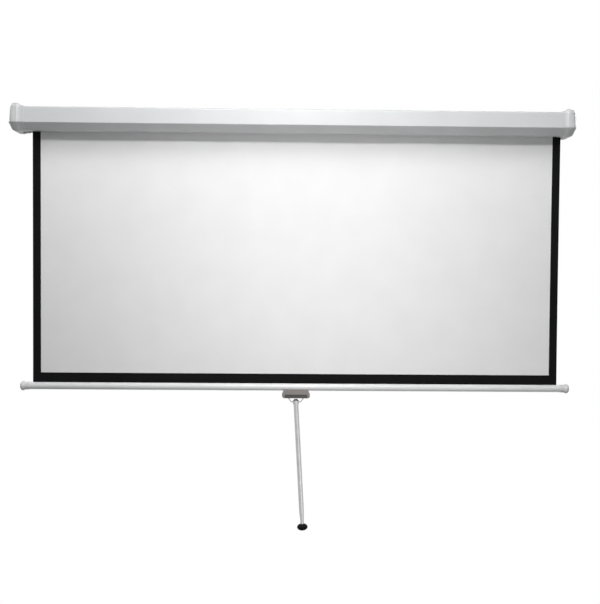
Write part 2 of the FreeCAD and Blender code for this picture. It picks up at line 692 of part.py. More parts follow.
on_roller("spring_collar", sleeve("-collar_out", "-collar_in", "spindle_radius", "collar_radius"))
on_roller("spring_carrier", sleeve("-carrier_out", "-carrier_in", "spindle_radius + running_clearance",
                                   "tube_bore"))


def make_spring():
    """The torsion spring between the still collar and the turning carrier."""
    start = "roller_shift - collar_in + spring_wire_radius + seat_clearance"
    body = new_body("torsion_spring", start, "roller_y", "roller_z")
    sketch = polygon(body, "XY_Plane", rectangle(
        "-spring_wire_radius", "spring_wire_radius",
        "spring_radius - spring_wire_radius", "spring_radius + spring_wire_radius"))
    coil = body.newObject("PartDesign::AdditiveHelix", "torsion_spring_coil")
    coil.Profile = sketch
    coil.ReferenceAxis = (sketch, ["H_Axis"])
    coil.Mode = "height-turns-angle"
    height = "spring_length - 2 * spring_wire_radius - seat_clearance - spring_gap"
    coil.setExpression("Height", bound(height))
    coil.setExpression("Turns", bound("spring_turns"))
    doc.recompute()


make_spring()


# Screen: the sheet from the roller to the hem, and the hem's band down to the rod in the bar
def make_sheet(label, foot, top):
    body = new_body(label, "roller_shift", "fabric_y", "0")
    outline = rectangle("-fabric_end", "fabric_end", foot, top)
    pad(body, polygon(body, "XZ_Plane", outline), "fabric_thickness", both_ways=True)


make_sheet("screen_fabric", "hem_top", "roller_z")
make_sheet("hem_band", "hem_rod_z + hem_rod_radius", "hem_top")
turned_along_x("hem_rod", [("-fabric_end", "0"), ("fabric_end", "0"), ("fabric_end", "hem_rod_radius"),
                           ("-fabric_end", "hem_rod_radius")], "roller_shift", "fabric_y", "hem_rod_z")


# Bottom bar: a slotted tube that hangs on the hem rod, with a bulb cap on each end
def make_bar():
    body = new_body("bottom_bar", "roller_shift", "fabric_y", "bar_z")
    ring = circles(body, "YZ_Plane", ["bar_radius", "bar_bore"])
    pad(body, ring, "2 * bar_end", both_ways=True)
    slot = rectangle("-bar_slot / 2", "bar_slot / 2", "0", "2 * bar_radius")
    cut(body, polygon(body, "YZ_Plane", slot), "2 * bar_end", both_ways=True)
    holes = new_sketch(body, "XY_Plane")
    for sign in ("-", ""):
        draw_circle(holes, "screw_radius + running_clearance", sign + "handle_screw_spread / 2", "0")
    cut(body, holes, "2 * bar_radius")


make_bar()


def make_bar_cap(label, side):
    mouth = "bar_tip - bar_cap_length"
    neck = mouth + " + bar_cap_sleeve"
    points = [
        (mouth, "bar_radius"), (mouth, "bar_radius + bar_cap_rim"), (neck, "bar_radius + bar_cap_rim"),
        (neck + " + bar_cap_swell", "bar_cap_radius"),
        (neck + " + bar_cap_swell + bar_cap_land", "bar_cap_radius"),
        ("bar_tip", "bar_cap_nose"), ("bar_tip", "0"), ("bar_end", "0"), ("bar_end", "bar_radius"),
    ]
    outline = [(on_side(side, x), radius) for x, radius in points]
    body = turned_along_x(label, outline, "roller_shift", "fabric_y", "bar_z")

    def on_bulb(middle, edge):
        rim = near(edge.BoundBox.XLength, 0)
        return rim and abs(middle.x) > value(mouth) + 1 and not near(abs(middle.x), value("bar_end"))

    round_edges(body, "bar_cap_round", on_bulb)


make_bar_cap("bar_cap_left", LEFT)
make_bar_cap("bar_cap_right", RIGHT)


# Handle: a saddle under the bar, its cheeks round a hollow block that two screws hold
def make_saddle():
    body = new_body("handle_saddle", "roller_shift", "fabric_y", "0")
    top = "bar_z - bar_radius + saddle_wrap"
    half = "handle_length / 2"
    outline = [("-" + half, "block_foot"), (half, "block_foot"), (half, "saddle_foot"),
               (half + " - saddle_taper", top), ("-" + half + " + saddle_taper", top),
               ("-" + half, "saddle_foot")]
    corners = ["cheek_round", "cheek_round", "saddle_edge", "0", "0", "saddle_edge"]
    pad(body, rounded(body, "XZ_Plane", outline, corners), "handle_depth", both_ways=True)

    def on_outline(middle, edge):
        return near(abs(middle.y), value("handle_depth / 2")) and middle.z < value(top) - TINY

    round_edges(body, "saddle_edge", on_outline)
    cut(body, circles(body, "YZ_Plane", ["bar_radius"], "0", "bar_z"), "2 * handle_length", both_ways=True)
    channel = rectangle("-block_length / 2", "block_length / 2", "block_foot - block_height", "saddle_foot")
    cut(body, polygon(body, "XZ_Plane", channel), "2 * handle_depth", both_ways=True)
    for sign in ("-", ""):
        hole = circles(body, "XY_Plane", ["screw_radius + screw_clearance"],
                       sign + "handle_screw_spread / 2", "0", "bar_z")
        cut(body, hole, "2 * bar_radius + saddle_height")


def make_block():
    body = new_body("handle_block", "roller_shift", "fabric_y", "0")
    outline = rectangle("-block_length / 2", "block_length / 2", "block_foot", "saddle_foot")
    pad(body, polygon(body, "XZ_Plane", outline), "handle_depth - 2 * block_set_back", both_ways=True)
    pocket = rectangle("-pocket_length / 2", "pocket_length / 2", "-pocket_width / 2", "pocket_width / 2")
    cut(body, polygon(body, "XY_Plane", pocket, "block_foot"), "pocket_depth", backwards=True)
    for sign in ("-", ""):
        hole = circles(body, "XY_Plane", ["screw_radius + screw_clearance"],
                       sign + "handle_screw_spread / 2", "0", "saddle_foot")
        cut(body, hole, "block_height")
    pivots = circles(body, "YZ_Plane", ["bail_wire_radius + running_clearance"], "0", "bail_pivot_z")
    cut(body, pivots, "pocket_length + 2 * bail_pivot_depth", both_ways=True)


make_saddle()
make_block()
handle_screws = []
for sign in ("-", "+"):
    seat = "block_foot + pocket_depth"
    steps = [("screw_radius", "0", "bar_z - bar_bore - (%s)" % seat),
             ("screw_head_radius", "-screw_head_height / 2", "screw_head_height / 2")]
    handle_screws.append(stepped_pin("handle_screw", steps, FreeCAD.Vector(0, 0, 1),
                                     "roller_shift %s handle_screw_spread / 2" % sign, "fabric_y", seat))
group("handle_screws", handle_screws)


# Bail: one bent wire, its ends in the block's pivot holes, its foot through the rod's eye
def make_bail():
    reach = value("pocket_length / 2 + bail_pivot_depth - seat_clearance")
    shoulder = value("pocket_length / 2 - bail_side_gap - bail_wire_radius")
    foot = value("bail_foot / 2")
    drop = value("bail_foot_z - bail_pivot_z")
    corners = [(-reach, 0), (-shoulder, 0), (-foot, drop), (foot, drop), (shoulder, 0), (reach, 0)]
    corners = [FreeCAD.Vector(x, 0, z) for x, z in corners]
    edges = []
    last = corners[0]
    for before, corner, after in zip(corners, corners[1:], corners[2:]):
        start, middle, end = bend(before, corner, after, value("bail_bend"))
        edges.append(Part.LineSegment(last, start).toShape())
        edges.append(Part.Arc(start, middle, end).toShape())
        last = end
    edges.append(Part.LineSegment(last, corners[-1]).toShape())
    path = Part.Wire(edges)
    circle = Part.Circle(corners[0], FreeCAD.Vector(1, 0, 0), value("bail_wire_radius"))
    section = Part.Wire([circle.toShape()])
    bail = doc.addObject("Part::Feature", "bail_wire")
    bail.Label = "bail_wire"
    bail.Shape = path.makePipeShell([section], True, True)
    place(bail, "roller_shift", "fabric_y", "bail_pivot_z")
    SUB_PARTS.append(bail)


make_bail()


# Pull rod: ferrule with an eye for the bail, tube, tapered tip and knob, hanging a little askew
def hang(body):
    """Hang a rod piece from the bail's foot, tilted sideways as the rod hangs."""
    turn(body, FreeCAD.Vector(0, 1, 0), "-rod_tilt")
    place(body, "roller_shift", "fabric_y", "bail_foot_z")


def make_rod():
    ferrule = turned_along_z("rod_ferrule", [
        ("0", "ferrule_rise"), ("0", "-ferrule_fall"), ("ferrule_radius", "-ferrule_fall"),
        ("ferrule_radius", "ferrule_rise - ferrule_round"),
        ("ferrule_radius - ferrule_round", "ferrule_rise")])
    cut(ferrule, circles(ferrule, "YZ_Plane", ["eye_radius"]), "4 * ferrule_radius", both_ways=True)
    bore = "rod_radius - rod_wall"
    tube = turned_along_z("pull_rod", [(bore, "rod_foot"), ("rod_radius", "rod_foot"),
                                       ("rod_radius", "-ferrule_fall"), (bore, "-ferrule_fall")])
    tip = turned_along_z("rod_tip", [
        ("0", "rod_foot + tip_plug"), (bore, "rod_foot + tip_plug"), (bore, "rod_foot"),
        ("rod_radius", "rod_foot"), ("tip_radius", "rod_foot - tip_taper"),
        ("tip_radius", "tip_foot - knob_socket"), ("0", "tip_foot - knob_socket")])
    knob = new_body("ball_knob")
    ball = knob.newObject("PartDesign::AdditiveEllipsoid", "ball_knob_ball")
    ball.setExpression("Radius1", bound("knob_half_height"))
    ball.setExpression("Radius2", bound("knob_radius"))
    ball.setExpression("Radius3", bound("knob_radius"))
    ball.setExpression("Placement.Base.z", bound("tip_foot - knob_half_height"))
    doc.recompute()
    socket = circles(knob, "XY_Plane", ["tip_radius"], offset="tip_foot - knob_socket")
    cut(knob, socket, "2 * knob_half_height", backwards=True)
    for piece in (ferrule, tube, tip, knob):
        hang(piece)


make_rod()

# Every object has to be sound before anything is written
doc.recompute()
for thing in doc.Objects:
    if "Invalid" in thing.State or "Error" in thing.State:
        raise RuntimeError("%s did not compute: %s" % (thing.Label, thing.State))
for piece in SUB_PARTS:
    if piece.Shape.isNull() or not piece.Shape.isValid():
        raise RuntimeError("%s has no valid shape" % piece.Label)
os.makedirs("parts", exist_ok=True)
for piece in SUB_PARTS:
    piece.Shape.exportStep("parts/%s.step" % piece.Label)
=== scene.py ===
"""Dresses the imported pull-down projection screen: cloth, finishes, light and camera."""
import json
import math

import bmesh
import bpy
from mathutils import Matrix, Vector


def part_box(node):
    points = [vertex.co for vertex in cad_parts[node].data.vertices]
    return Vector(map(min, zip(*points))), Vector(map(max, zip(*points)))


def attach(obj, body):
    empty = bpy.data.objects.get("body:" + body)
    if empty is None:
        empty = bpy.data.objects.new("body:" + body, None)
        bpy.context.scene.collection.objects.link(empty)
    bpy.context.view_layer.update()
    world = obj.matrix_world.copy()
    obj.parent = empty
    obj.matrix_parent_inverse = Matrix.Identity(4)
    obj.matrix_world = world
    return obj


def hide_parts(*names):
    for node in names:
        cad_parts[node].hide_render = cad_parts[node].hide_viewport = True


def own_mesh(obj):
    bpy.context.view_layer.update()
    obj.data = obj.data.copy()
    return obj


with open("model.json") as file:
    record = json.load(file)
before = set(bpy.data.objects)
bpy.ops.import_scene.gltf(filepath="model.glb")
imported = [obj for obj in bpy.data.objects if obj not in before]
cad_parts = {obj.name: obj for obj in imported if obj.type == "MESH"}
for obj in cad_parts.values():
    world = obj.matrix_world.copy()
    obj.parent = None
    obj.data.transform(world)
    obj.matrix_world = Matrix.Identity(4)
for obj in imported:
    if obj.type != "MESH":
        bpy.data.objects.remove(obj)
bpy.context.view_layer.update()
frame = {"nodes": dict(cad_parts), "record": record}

MM = 0.001
IMAGE_WIDTH = 600
IMAGE_HEIGHT = 604
WHITE_LIGHT = (1, 1, 1, 1)


# Nodes of a material or of the world, which is their owner

def add_node(owner, kind, **settings):
    node = owner.node_tree.nodes.new(kind)
    for name, setting in settings.items():
        setattr(node, name, setting)
    return node


def join(owner, source, target):
    owner.node_tree.links.new(source, target)


def combine(owner, operation, first, second):
    """The result of one operation on two values."""
    result = add_node(owner, "ShaderNodeMath", operation=operation)
    join(owner, first, result.inputs[0])
    join(owner, second, result.inputs[1])
    return result.outputs["Value"]


def map_range(owner, value, before, after):
    """The value, brought from one range to another."""
    mapped = add_node(owner, "ShaderNodeMapRange")
    for end, number in zip(("From Min", "From Max", "To Min", "To Max"), before + after):
        mapped.inputs[end].default_value = number
    join(owner, value, mapped.inputs["Value"])
    return mapped.outputs["Result"]


def seen_rays(owner):
    """1 for the rays of the camera, mirrors and glass, 0 for the others."""
    path = add_node(owner, "ShaderNodeLightPath")
    seen = path.outputs["Is Camera Ray"]
    for ray in ("Is Glossy Ray", "Is Transmission Ray"):
        seen = combine(owner, "MAXIMUM", seen, path.outputs[ray])
    return seen


def place_of(owner, scale=(1, 1, 1)):
    """Object coordinates in metres, times the scale of each axis."""
    coordinates = add_node(owner, "ShaderNodeTexCoord")
    mapping = add_node(owner, "ShaderNodeMapping")
    mapping.inputs["Scale"].default_value = scale
    join(owner, coordinates.outputs["Object"], mapping.inputs["Vector"])
    return mapping.outputs["Vector"]


# Finishes

# Noise keeps mostly to the middle of 0 to 1, so this part of it is spread over a finish's whole range.
NOISE_MIDDLE = (0.3, 0.7)
# How much of the colour is left at a finish's darkest places.
PAINT_DIRT = 0.95
FLOW_MARK = 0.9
ZINC_GREY = (0.6, 0.61, 0.62)
ZINC_DARK = (0.5, 0.51, 0.53)
ZINC_LIGHT = (0.68, 0.69, 0.7)
THREAD_PITCH = 0.8 * MM
THREAD_DEPTH = 0.03 * MM
# A wave texture of scale 1 runs through this many radians per metre.
WAVE_RADIANS = 20


def noise(material, grains_per_metre, detail=2, scale=(1, 1, 1)):
    texture = add_node(material, "ShaderNodeTexNoise")
    texture.inputs["Scale"].default_value = grains_per_metre
    texture.inputs["Detail"].default_value = detail
    join(material, place_of(material, scale), texture.inputs["Vector"])
    return texture.outputs["Fac"]


def spangle(material, grains_per_metre):
    """Flat cells, as the crystals of a zinc coat."""
    texture = add_node(material, "ShaderNodeTexVoronoi")
    texture.inputs["Scale"].default_value = grains_per_metre
    join(material, place_of(material), texture.inputs["Vector"])
    grey = add_node(material, "ShaderNodeSeparateColor")
    join(material, texture.outputs["Color"], grey.inputs["Color"])
    return grey.outputs["Red"]


def new_finish(name, colour, roughness, metallic=0.0, shine=0.5):
    """A material with one shader, whose colour and roughness hold where no pattern is joined to them."""
    material = bpy.data.materials.new(name)
    material.use_nodes = True
    shader = material.node_tree.nodes["Principled BSDF"]
    shader.inputs["Base Color"].default_value = (*colour, 1)
    shader.inputs["Roughness"].default_value = roughness
    shader.inputs["Metallic"].default_value = metallic
    shader.inputs["Specular IOR Level"].default_value = shine
    return material, shader


def vary_colour(material, shader, share, dark, light):
    ramp = add_node(material, "ShaderNodeValToRGB")
    for stop, position, colour in zip(ramp.color_ramp.elements, NOISE_MIDDLE, (dark, light)):
        stop.position = position
        stop.color = (*colour, 1)
    join(material, share, ramp.inputs["Fac"])
    join(material, ramp.outputs["Color"], shader.inputs["Base Color"])


def vary_roughness(material, shader, share, roughness):
    varied = map_range(material, share, NOISE_MIDDLE, roughness)
    join(material, varied, shader.inputs["Roughness"])


def add_bump(material, shader, height, depth, strength):
    """Relief of the given depth in metres."""
    bump = add_node(material, "ShaderNodeBump")
    bump.inputs["Strength"].default_value = strength
    bump.inputs["Distance"].default_value = depth
    join(material, height, bump.inputs["Height"])
    join(material, bump.outputs["Normal"], shader.inputs["Normal"])


def shade(colour, share):
    return tuple(channel * share for channel in colour)


def painted(name, colour, roughness, peel_per_metre, peel_depth):
    """Baked paint on metal: orange peel, uneven gloss and a little handling dirt."""
    material, shader = new_finish(name, colour, roughness[0])
    dirt = noise(material, grains_per_metre=9, detail=4)
    wear = noise(material, grains_per_metre=55, detail=3)
    peel = noise(material, peel_per_metre, detail=1)
    vary_colour(material, shader, dirt, shade(colour, PAINT_DIRT), colour)
    vary_roughness(material, shader, wear, roughness)
    add_bump(material, shader, peel, peel_depth, strength=0.35)
    return material


def moulded(name, colour, roughness, grain_per_metre=2400, grain_depth=0.06 * MM, shine=0.5):
    """Moulded plastic with the fine grain of an etched mould and slight flow marks."""
    material, shader = new_finish(name, colour, roughness[0], shine=shine)
    flow = noise(material, grains_per_metre=22, detail=3, scale=(1, 1, 0.35))
    wear = noise(material, grains_per_metre=140)
    grain = noise(material, grain_per_metre)
    vary_colour(material, shader, flow, shade(colour, FLOW_MARK), colour)
    vary_roughness(material, shader, wear, roughness)
    add_bump(material, shader, grain, grain_depth, strength=0.6)
    return material


def brushed(name, dark, light, roughness, scale, mark_depth=0.02 * MM):
    """Drawn or turned metal: fine marks that run along the axis of the smallest scale."""
    material, shader = new_finish(name, light, roughness[0], metallic=1.0)
    marks = noise(material, grains_per_metre=60, detail=4, scale=scale)
    stain = noise(material, grains_per_metre=35, detail=3)
    vary_colour(material, shader, stain, dark, light)
    vary_roughness(material, shader, marks, roughness)
    add_bump(material, shader, marks, mark_depth, strength=0.4)
    return material


def zinc_plated(name, roughness):
    """Zinc-coated sheet steel with its crystal pattern."""
    material, shader = new_finish(name, ZINC_GREY, roughness[0], metallic=1.0)
    cells = spangle(material, grains_per_metre=170)
    grain = noise(material, grains_per_metre=700)
    vary_colour(material, shader, cells, ZINC_DARK, ZINC_LIGHT)
    vary_roughness(material, shader, cells, roughness)
    add_bump(material, shader, grain, 0.03 * MM, strength=0.4)
    return material


def woven(name, colour, dirt, roughness, shine):
    """Coated cloth: a plain weave shows through the coat as a low relief."""
    material, shader = new_finish(name, colour, roughness[1], shine=shine)
    place = place_of(material)
    threads = []
    for direction in ("X", "Z"):
        wave = add_node(material, "ShaderNodeTexWave", bands_direction=direction)
        wave.inputs["Scale"].default_value = 2 * math.pi / (WAVE_RADIANS * THREAD_PITCH)
        join(material, place, wave.inputs["Vector"])
        threads.append(wave.outputs["Fac"])
    weave = combine(material, "MULTIPLY", *threads)
    stain = noise(material, grains_per_metre=14, detail=4)
    wear = noise(material, grains_per_metre=260)
    vary_colour(material, shader, stain, shade(colour, dirt), colour)
    vary_roughness(material, shader, wear, roughness)
    add_bump(material, shader, weave, THREAD_DEPTH, strength=0.5)
    return material


screen_white = woven("screen_cloth", (0.9, 0.9, 0.9), dirt=0.975, roughness=(0.75, 0.9), shine=0.15)
border_black = woven("border_cloth", (0.006, 0.006, 0.0065), dirt=0.7, roughness=(0.55, 0.75), shine=0.06)
back_black = woven("screen_back", (0.03, 0.03, 0.032), dirt=0.8, roughness=(0.7, 0.85), shine=0.15)

FINISHES = {
    "case_paint": painted(
        "case_paint", (0.61, 0.625, 0.63), roughness=(0.36, 0.46),
        peel_per_metre=420, peel_depth=0.1 * MM),
    "bar_paint": painted(
        "bar_paint", (0.83, 0.835, 0.84), roughness=(0.28, 0.38),
        peel_per_metre=600, peel_depth=0.08 * MM),
    "cap_plastic": moulded("cap_plastic", (0.63, 0.645, 0.65), roughness=(0.4, 0.5)),
    "bar_cap_plastic": moulded("bar_cap_plastic", (0.76, 0.76, 0.755), roughness=(0.4, 0.52)),
    "saddle_plastic": moulded("saddle_plastic", (0.25, 0.232, 0.224), roughness=(0.42, 0.55)),
    "block_plastic": moulded("block_plastic", (0.06, 0.053, 0.05), roughness=(0.42, 0.56)),
    "plug_plastic": moulded("plug_plastic", (0.05, 0.05, 0.055), roughness=(0.45, 0.6)),
    "nylon": moulded("nylon", (0.78, 0.77, 0.72), roughness=(0.42, 0.5)),
    "knob_rubber": moulded(
        "knob_rubber", (0.005, 0.005, 0.005), roughness=(0.5, 0.65),
        grain_per_metre=900, grain_depth=0.12 * MM, shine=0.06),
    "zinc_steel": zinc_plated("zinc_steel", roughness=(0.34, 0.5)),
    "screw_steel": brushed(
        "screw_steel", (0.5, 0.5, 0.48), (0.66, 0.66, 0.64), roughness=(0.24, 0.4), scale=(1, 8, 8)),
    "roller_steel": brushed(
        "roller_steel", (0.52, 0.53, 0.54), (0.64, 0.65, 0.66), roughness=(0.3, 0.46), scale=(0.4, 14, 14)),
    "spring_steel": brushed(
        "spring_steel", (0.12, 0.12, 0.13), (0.24, 0.24, 0.26), roughness=(0.3, 0.45), scale=(6, 1, 1)),
    "chrome": brushed(
        "chrome", (0.41, 0.41, 0.42), (0.47, 0.47, 0.48), roughness=(0.4, 0.46), scale=(9, 9, 0.05),
        mark_depth=0.002 * MM),
    "screen_cloth": screen_white,
    "border_cloth": border_black,
}

for subpart in frame["record"]["subparts"]:
    node = frame["nodes"][subpart["node"]]
    node.material_slots[0].material = FINISHES[subpart["material_slot"]]


# Pieces

CREASE_ANGLE = math.radians(35)


def new_piece(name, build, finishes, body):
    """An object from a bmesh, smooth up to the crease angle, with its finishes in order, on a body."""
    mesh = bpy.data.meshes.new(name)
    build.normal_update()
    build.to_mesh(mesh)
    build.free()
    for finish in finishes:
        mesh.materials.append(finish)
    mesh.polygons.foreach_set("use_smooth", [True] * len(mesh.polygons))
    mesh.set_sharp_from_angle(angle=CREASE_ANGLE)
    piece = bpy.data.objects.new(name, mesh)
    bpy.context.scene.collection.objects.link(piece)
    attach(piece, body)
    return piece


def spread(low, high, count):
    return [low + (high - low) * step / count for step in range(count + 1)]


def sheet_between(front, back, face_finish, back_finish, rim_finish):
    """A closed sheet from two equal grids of points, rows first; the face's finish goes by column."""
    build = bmesh.new()
    rows = len(front)
    columns = len(front[0])
    faces = [[build.verts.new(point) for point in row] for row in front]
    backs = [[build.verts.new(point) for point in row] for row in back]
    for row in range(rows - 1):
        for column in range(columns - 1):
            ring = [(row, column), (row + 1, column), (row + 1, column + 1), (row, column + 1)]
            face = build.faces.new([faces[r][c] for r, c in ring])
            face.material_index = face_finish[column]
            face = build.faces.new([backs[r][c] for r, c in reversed(ring)])
            face.material_index = back_finish
    around = [(0, column) for column in range(columns)]
    around += [(row, columns - 1) for row in range(1, rows)]
    around += [(rows - 1, column) for column in range(columns - 2, -1, -1)]
    around += [(row, 0) for row in range(rows - 2, 0, -1)]
    for here, there in zip(around, around[1:] + around[:1]):
        (row, column), (next_row, next_column) = here, there
        face = build.faces.new([faces[row][column], faces[next_row][next_column],
                                backs[next_row][next_column], backs[row][column]])
        face.material_index = rim_finish
    bmesh.ops.recalc_face_normals(build, faces=build.faces[:])
    return build


# Caps

# Corners of the outline at the start and end of a cap's bevel, in millimetres: depth, height, radius.
KNEE_CORNERS = [(-78.4, 38.4, 15.4), (-83.4, -17, 5.9), (-57.7, -37.9, 5.4)]
NOSE_CORNERS = [(-60, 15, 8), (-65, -17, 4), (-48.5, -19, 4)]
# Depth at which the outline starts and ends, just off the wall.
WALL_INSET = -0.2
KNEE_FROM_TIP = 17.3 * MM
NOSE_FROM_TIP = 1.2 * MM
CORNER_STEPS = 8
SHOULDER_STEPS = 14
# The power of the shoulder's curve; 1 would be the straight bevel.
SHOULDER_SWELL = 2.4
# The skin's inner side, as a share of the straight bevel's outline, lies inside the cap.
SKIN_SHARE = 0.95


def cap_outline(corners):
    """Points from the wall over the top, front and foot back to the wall, with round corners."""
    path = [Vector((WALL_INSET, corners[0][1]))]
    path += [Vector(corner[:2]) for corner in corners]
    path += [Vector((WALL_INSET, corners[-1][1]))]
    points = [path[0]]
    for before, corner, after, (_, _, radius) in zip(path, path[1:], path[2:], corners):
        back = (before - corner).normalized()
        onward = (after - corner).normalized()
        half_angle = back.angle(onward) / 2
        centre = corner + (back + onward).normalized() * (radius / math.sin(half_angle))
        start = corner + back * (radius / math.tan(half_angle)) - centre
        end = corner + onward * (radius / math.tan(half_angle)) - centre
        for share in spread(0, 1, CORNER_STEPS):
            points.append(centre + start.slerp(end, share).normalized() * radius)
    return [point * MM for point in points + [path[-1]]]


def cap_shoulder(name, node, side):
    """A skin over the cap's straight end bevel, rounded as the moulding is."""
    low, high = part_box(node)
    tip = max(-low.x, high.x)
    knee = cap_outline(KNEE_CORNERS)
    nose = cap_outline(NOSE_CORNERS)
    outer = []
    inner = []
    for share in spread(0, 1, SHOULDER_STEPS):
        x = side * (tip - KNEE_FROM_TIP + (KNEE_FROM_TIP - NOSE_FROM_TIP) * share)
        swollen = [here.lerp(there, share ** SHOULDER_SWELL) for here, there in zip(knee, nose)]
        straight = [here.lerp(there, share) * SKIN_SHARE for here, there in zip(knee, nose)]
        outer.append([(x, y, z) for y, z in swollen])
        inner.append([(x, y, z) for y, z in straight])
    build = sheet_between(outer, inner, [0] * len(knee), 0, 0)
    new_piece(name, build, [FINISHES["cap_plastic"]], "case")


cap_shoulder("cap_shoulder_left", "end_cap_left", -1)
cap_shoulder("cap_shoulder_right", "end_cap_right", 1)


# Screws of the caps, with pan heads and cross recesses

HEAD_RADIUS = 3.2 * MM
HEAD_HEIGHT = 2.2 * MM
HEAD_EDGE = 1.1 * MM
CROSS_WIDTH = 0.9 * MM
CROSS_LENGTH = 3.6 * MM
CROSS_DEPTH = 1.3 * MM
CROSS_TAPER = 0.6
SHANK_RADIUS = 1.6 * MM
SHANK_LENGTH = 18 * MM
POINT_RADIUS = SHANK_RADIUS / 4
POINT_LENGTH = 2 * MM
SCREW_SIDES = 64
DOME_STEPS = 6
# Keeps one ring of points off the next, and a divisor off zero.
HAIR = 0.001 * MM


def cross_reach(angle):
    """How far the cross recess reaches from the screw's axis at an angle."""
    level = abs(math.cos(angle)) + HAIR
    upright = abs(math.sin(angle)) + HAIR
    one_arm = min(CROSS_LENGTH / 2 / level, CROSS_WIDTH / 2 / upright)
    other_arm = min(CROSS_WIDTH / 2 / level, CROSS_LENGTH / 2 / upright)
    return max(one_arm, other_arm)


def dome_rise(radius):
    return HEAD_EDGE + (HEAD_HEIGHT - HEAD_EDGE) * math.sqrt(max(0, 1 - (radius / HEAD_RADIUS) ** 2))


def add_screw(build, seat, outward):
    """A screw along X whose head stands on the seat."""
    angles = [2 * math.pi * step / SCREW_SIDES for step in range(SCREW_SIDES)]
    crossed = [cross_reach(angle) for angle in angles]
    rings = [([reach * CROSS_TAPER for reach in crossed], [HEAD_HEIGHT - CROSS_DEPTH] * SCREW_SIDES)]
    rings += [(crossed, [dome_rise(reach) for reach in crossed])]
    round_rings = [(radius, dome_rise(radius))
                   for radius in spread(CROSS_LENGTH / 2 + HAIR, HEAD_RADIUS, DOME_STEPS)]
    round_rings += [(HEAD_RADIUS, 0), (SHANK_RADIUS, 0), (SHANK_RADIUS, -SHANK_LENGTH)]
    round_rings += [(POINT_RADIUS, -SHANK_LENGTH - POINT_LENGTH)]
    for radius, rise in round_rings:
        rings.append(([radius] * SCREW_SIDES, [rise] * SCREW_SIDES))
    loops = []
    for radii, rises in rings:
        loop = []
        for angle, radius, rise in zip(angles, radii, rises):
            turn = Vector((outward * rise, radius * math.cos(angle), radius * math.sin(angle)))
            loop.append(build.verts.new(seat + turn))
        loops.append(loop)
    for inner, outer in zip(loops, loops[1:]):
        for step in range(SCREW_SIDES):
            onward = (step + 1) % SCREW_SIDES
            build.faces.new([inner[step], inner[onward], outer[onward], outer[step]])
    build.faces.new(loops[0])
    build.faces.new(loops[-1])


screw_low, screw_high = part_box("cap_screws")
screw_height = (screw_low.z + screw_high.z) / 2
screw_build = bmesh.new()
for head_x, outward in ((screw_low.x, -1), (screw_high.x, 1)):
    for screw_y in (screw_low.y + HEAD_RADIUS, screw_high.y - HEAD_RADIUS):
        add_screw(screw_build, Vector((head_x - outward * HEAD_HEIGHT, screw_y, screw_height)), outward)
bmesh.ops.recalc_face_normals(screw_build, faces=screw_build.faces[:])
screws = new_piece("cap_screw_set", screw_build, [FINISHES["screw_steel"]], "case")
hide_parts("cap_screws")


# Cloth of the panel

BORDER_WIDTH = 23 * MM
BORDER_STEPS = 3
PANEL_COLUMNS = 120
PANEL_ROWS = 60
# Places of the three finishes in cloth_finishes.
WHITE, BLACK, BACK = 0, 1, 2

# The waves' phases are in radians, from the middle of the cloth to an edge or over its whole drop.
WAVE_DEPTH = 0.66 * MM
WIDE_WAVE = 2.6 * math.pi
WIDE_START = 0.7
NARROW_WAVE = 4.3 * math.pi
NARROW_START = -1.1
NARROW_SLANT = 1.5
NARROW_SHARE = 0.6
CURL_DEPTH = 1.6 * MM
CURL_POWER = 6
SWAY_POWER = 0.8

cloth_finishes = [screen_white, border_black, back_black]
panel_low, panel_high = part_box("screen_fabric")
panel_width = panel_high.x - panel_low.x
panel_drop = panel_high.z - panel_low.z
panel_middle = (panel_low.y + panel_high.y) / 2
panel_half = (panel_high.y - panel_low.y) / 2

columns = spread(panel_low.x, panel_low.x + BORDER_WIDTH, BORDER_STEPS)[:-1]
columns += spread(panel_low.x + BORDER_WIDTH, panel_high.x - BORDER_WIDTH, PANEL_COLUMNS)
columns += spread(panel_high.x - BORDER_WIDTH, panel_high.x, BORDER_STEPS)[1:]
column_finish = [BLACK] * BORDER_STEPS + [WHITE] * PANEL_COLUMNS + [BLACK] * BORDER_STEPS
rows = spread(panel_high.z, panel_low.z, PANEL_ROWS)


def panel_sway(x, z):
    """How far the hanging cloth stands off its plane: shallow waves and edges that curl back."""
    down = (panel_high.z - z) / panel_drop
    across = (2 * x - panel_low.x - panel_high.x) / panel_width
    free = math.sin(math.pi * down) ** SWAY_POWER if 0 < down < 1 else 0
    wide = math.sin(WIDE_WAVE * across + WIDE_START)
    narrow = math.sin(NARROW_WAVE * across + NARROW_START + NARROW_SLANT * down)
    waves = WAVE_DEPTH * (wide + NARROW_SHARE * narrow)
    return free * (waves + CURL_DEPTH * abs(across) ** CURL_POWER)


def panel_face(off):
    """The points of one face of the panel, off from its middle."""
    return [[(x, panel_middle + off + panel_sway(x, z), z) for x in columns] for z in rows]


panel_build = sheet_between(panel_face(-panel_half), panel_face(panel_half), column_finish, BACK, BLACK)
panel = new_piece("cloth_panel", panel_build, cloth_finishes, "case")
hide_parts("screen_fabric")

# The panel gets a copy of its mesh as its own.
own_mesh(panel)


# The hem is the same cloth doubled over, welded along a line below its upper edge.

HEM_EDGE = 0.25
HEM_FULL = 0.45
HEM_WELD = 0.28
# Depths below the hem's upper edge and half the hem's thickness there, in millimetres.
HEM_PROFILE = [(0, HEM_EDGE), (0.8, HEM_FULL), (4.2, HEM_FULL), (4.8, HEM_WELD), (6.4, HEM_WELD),
               (7, HEM_FULL), (24, HEM_FULL), (27, HEM_EDGE)]

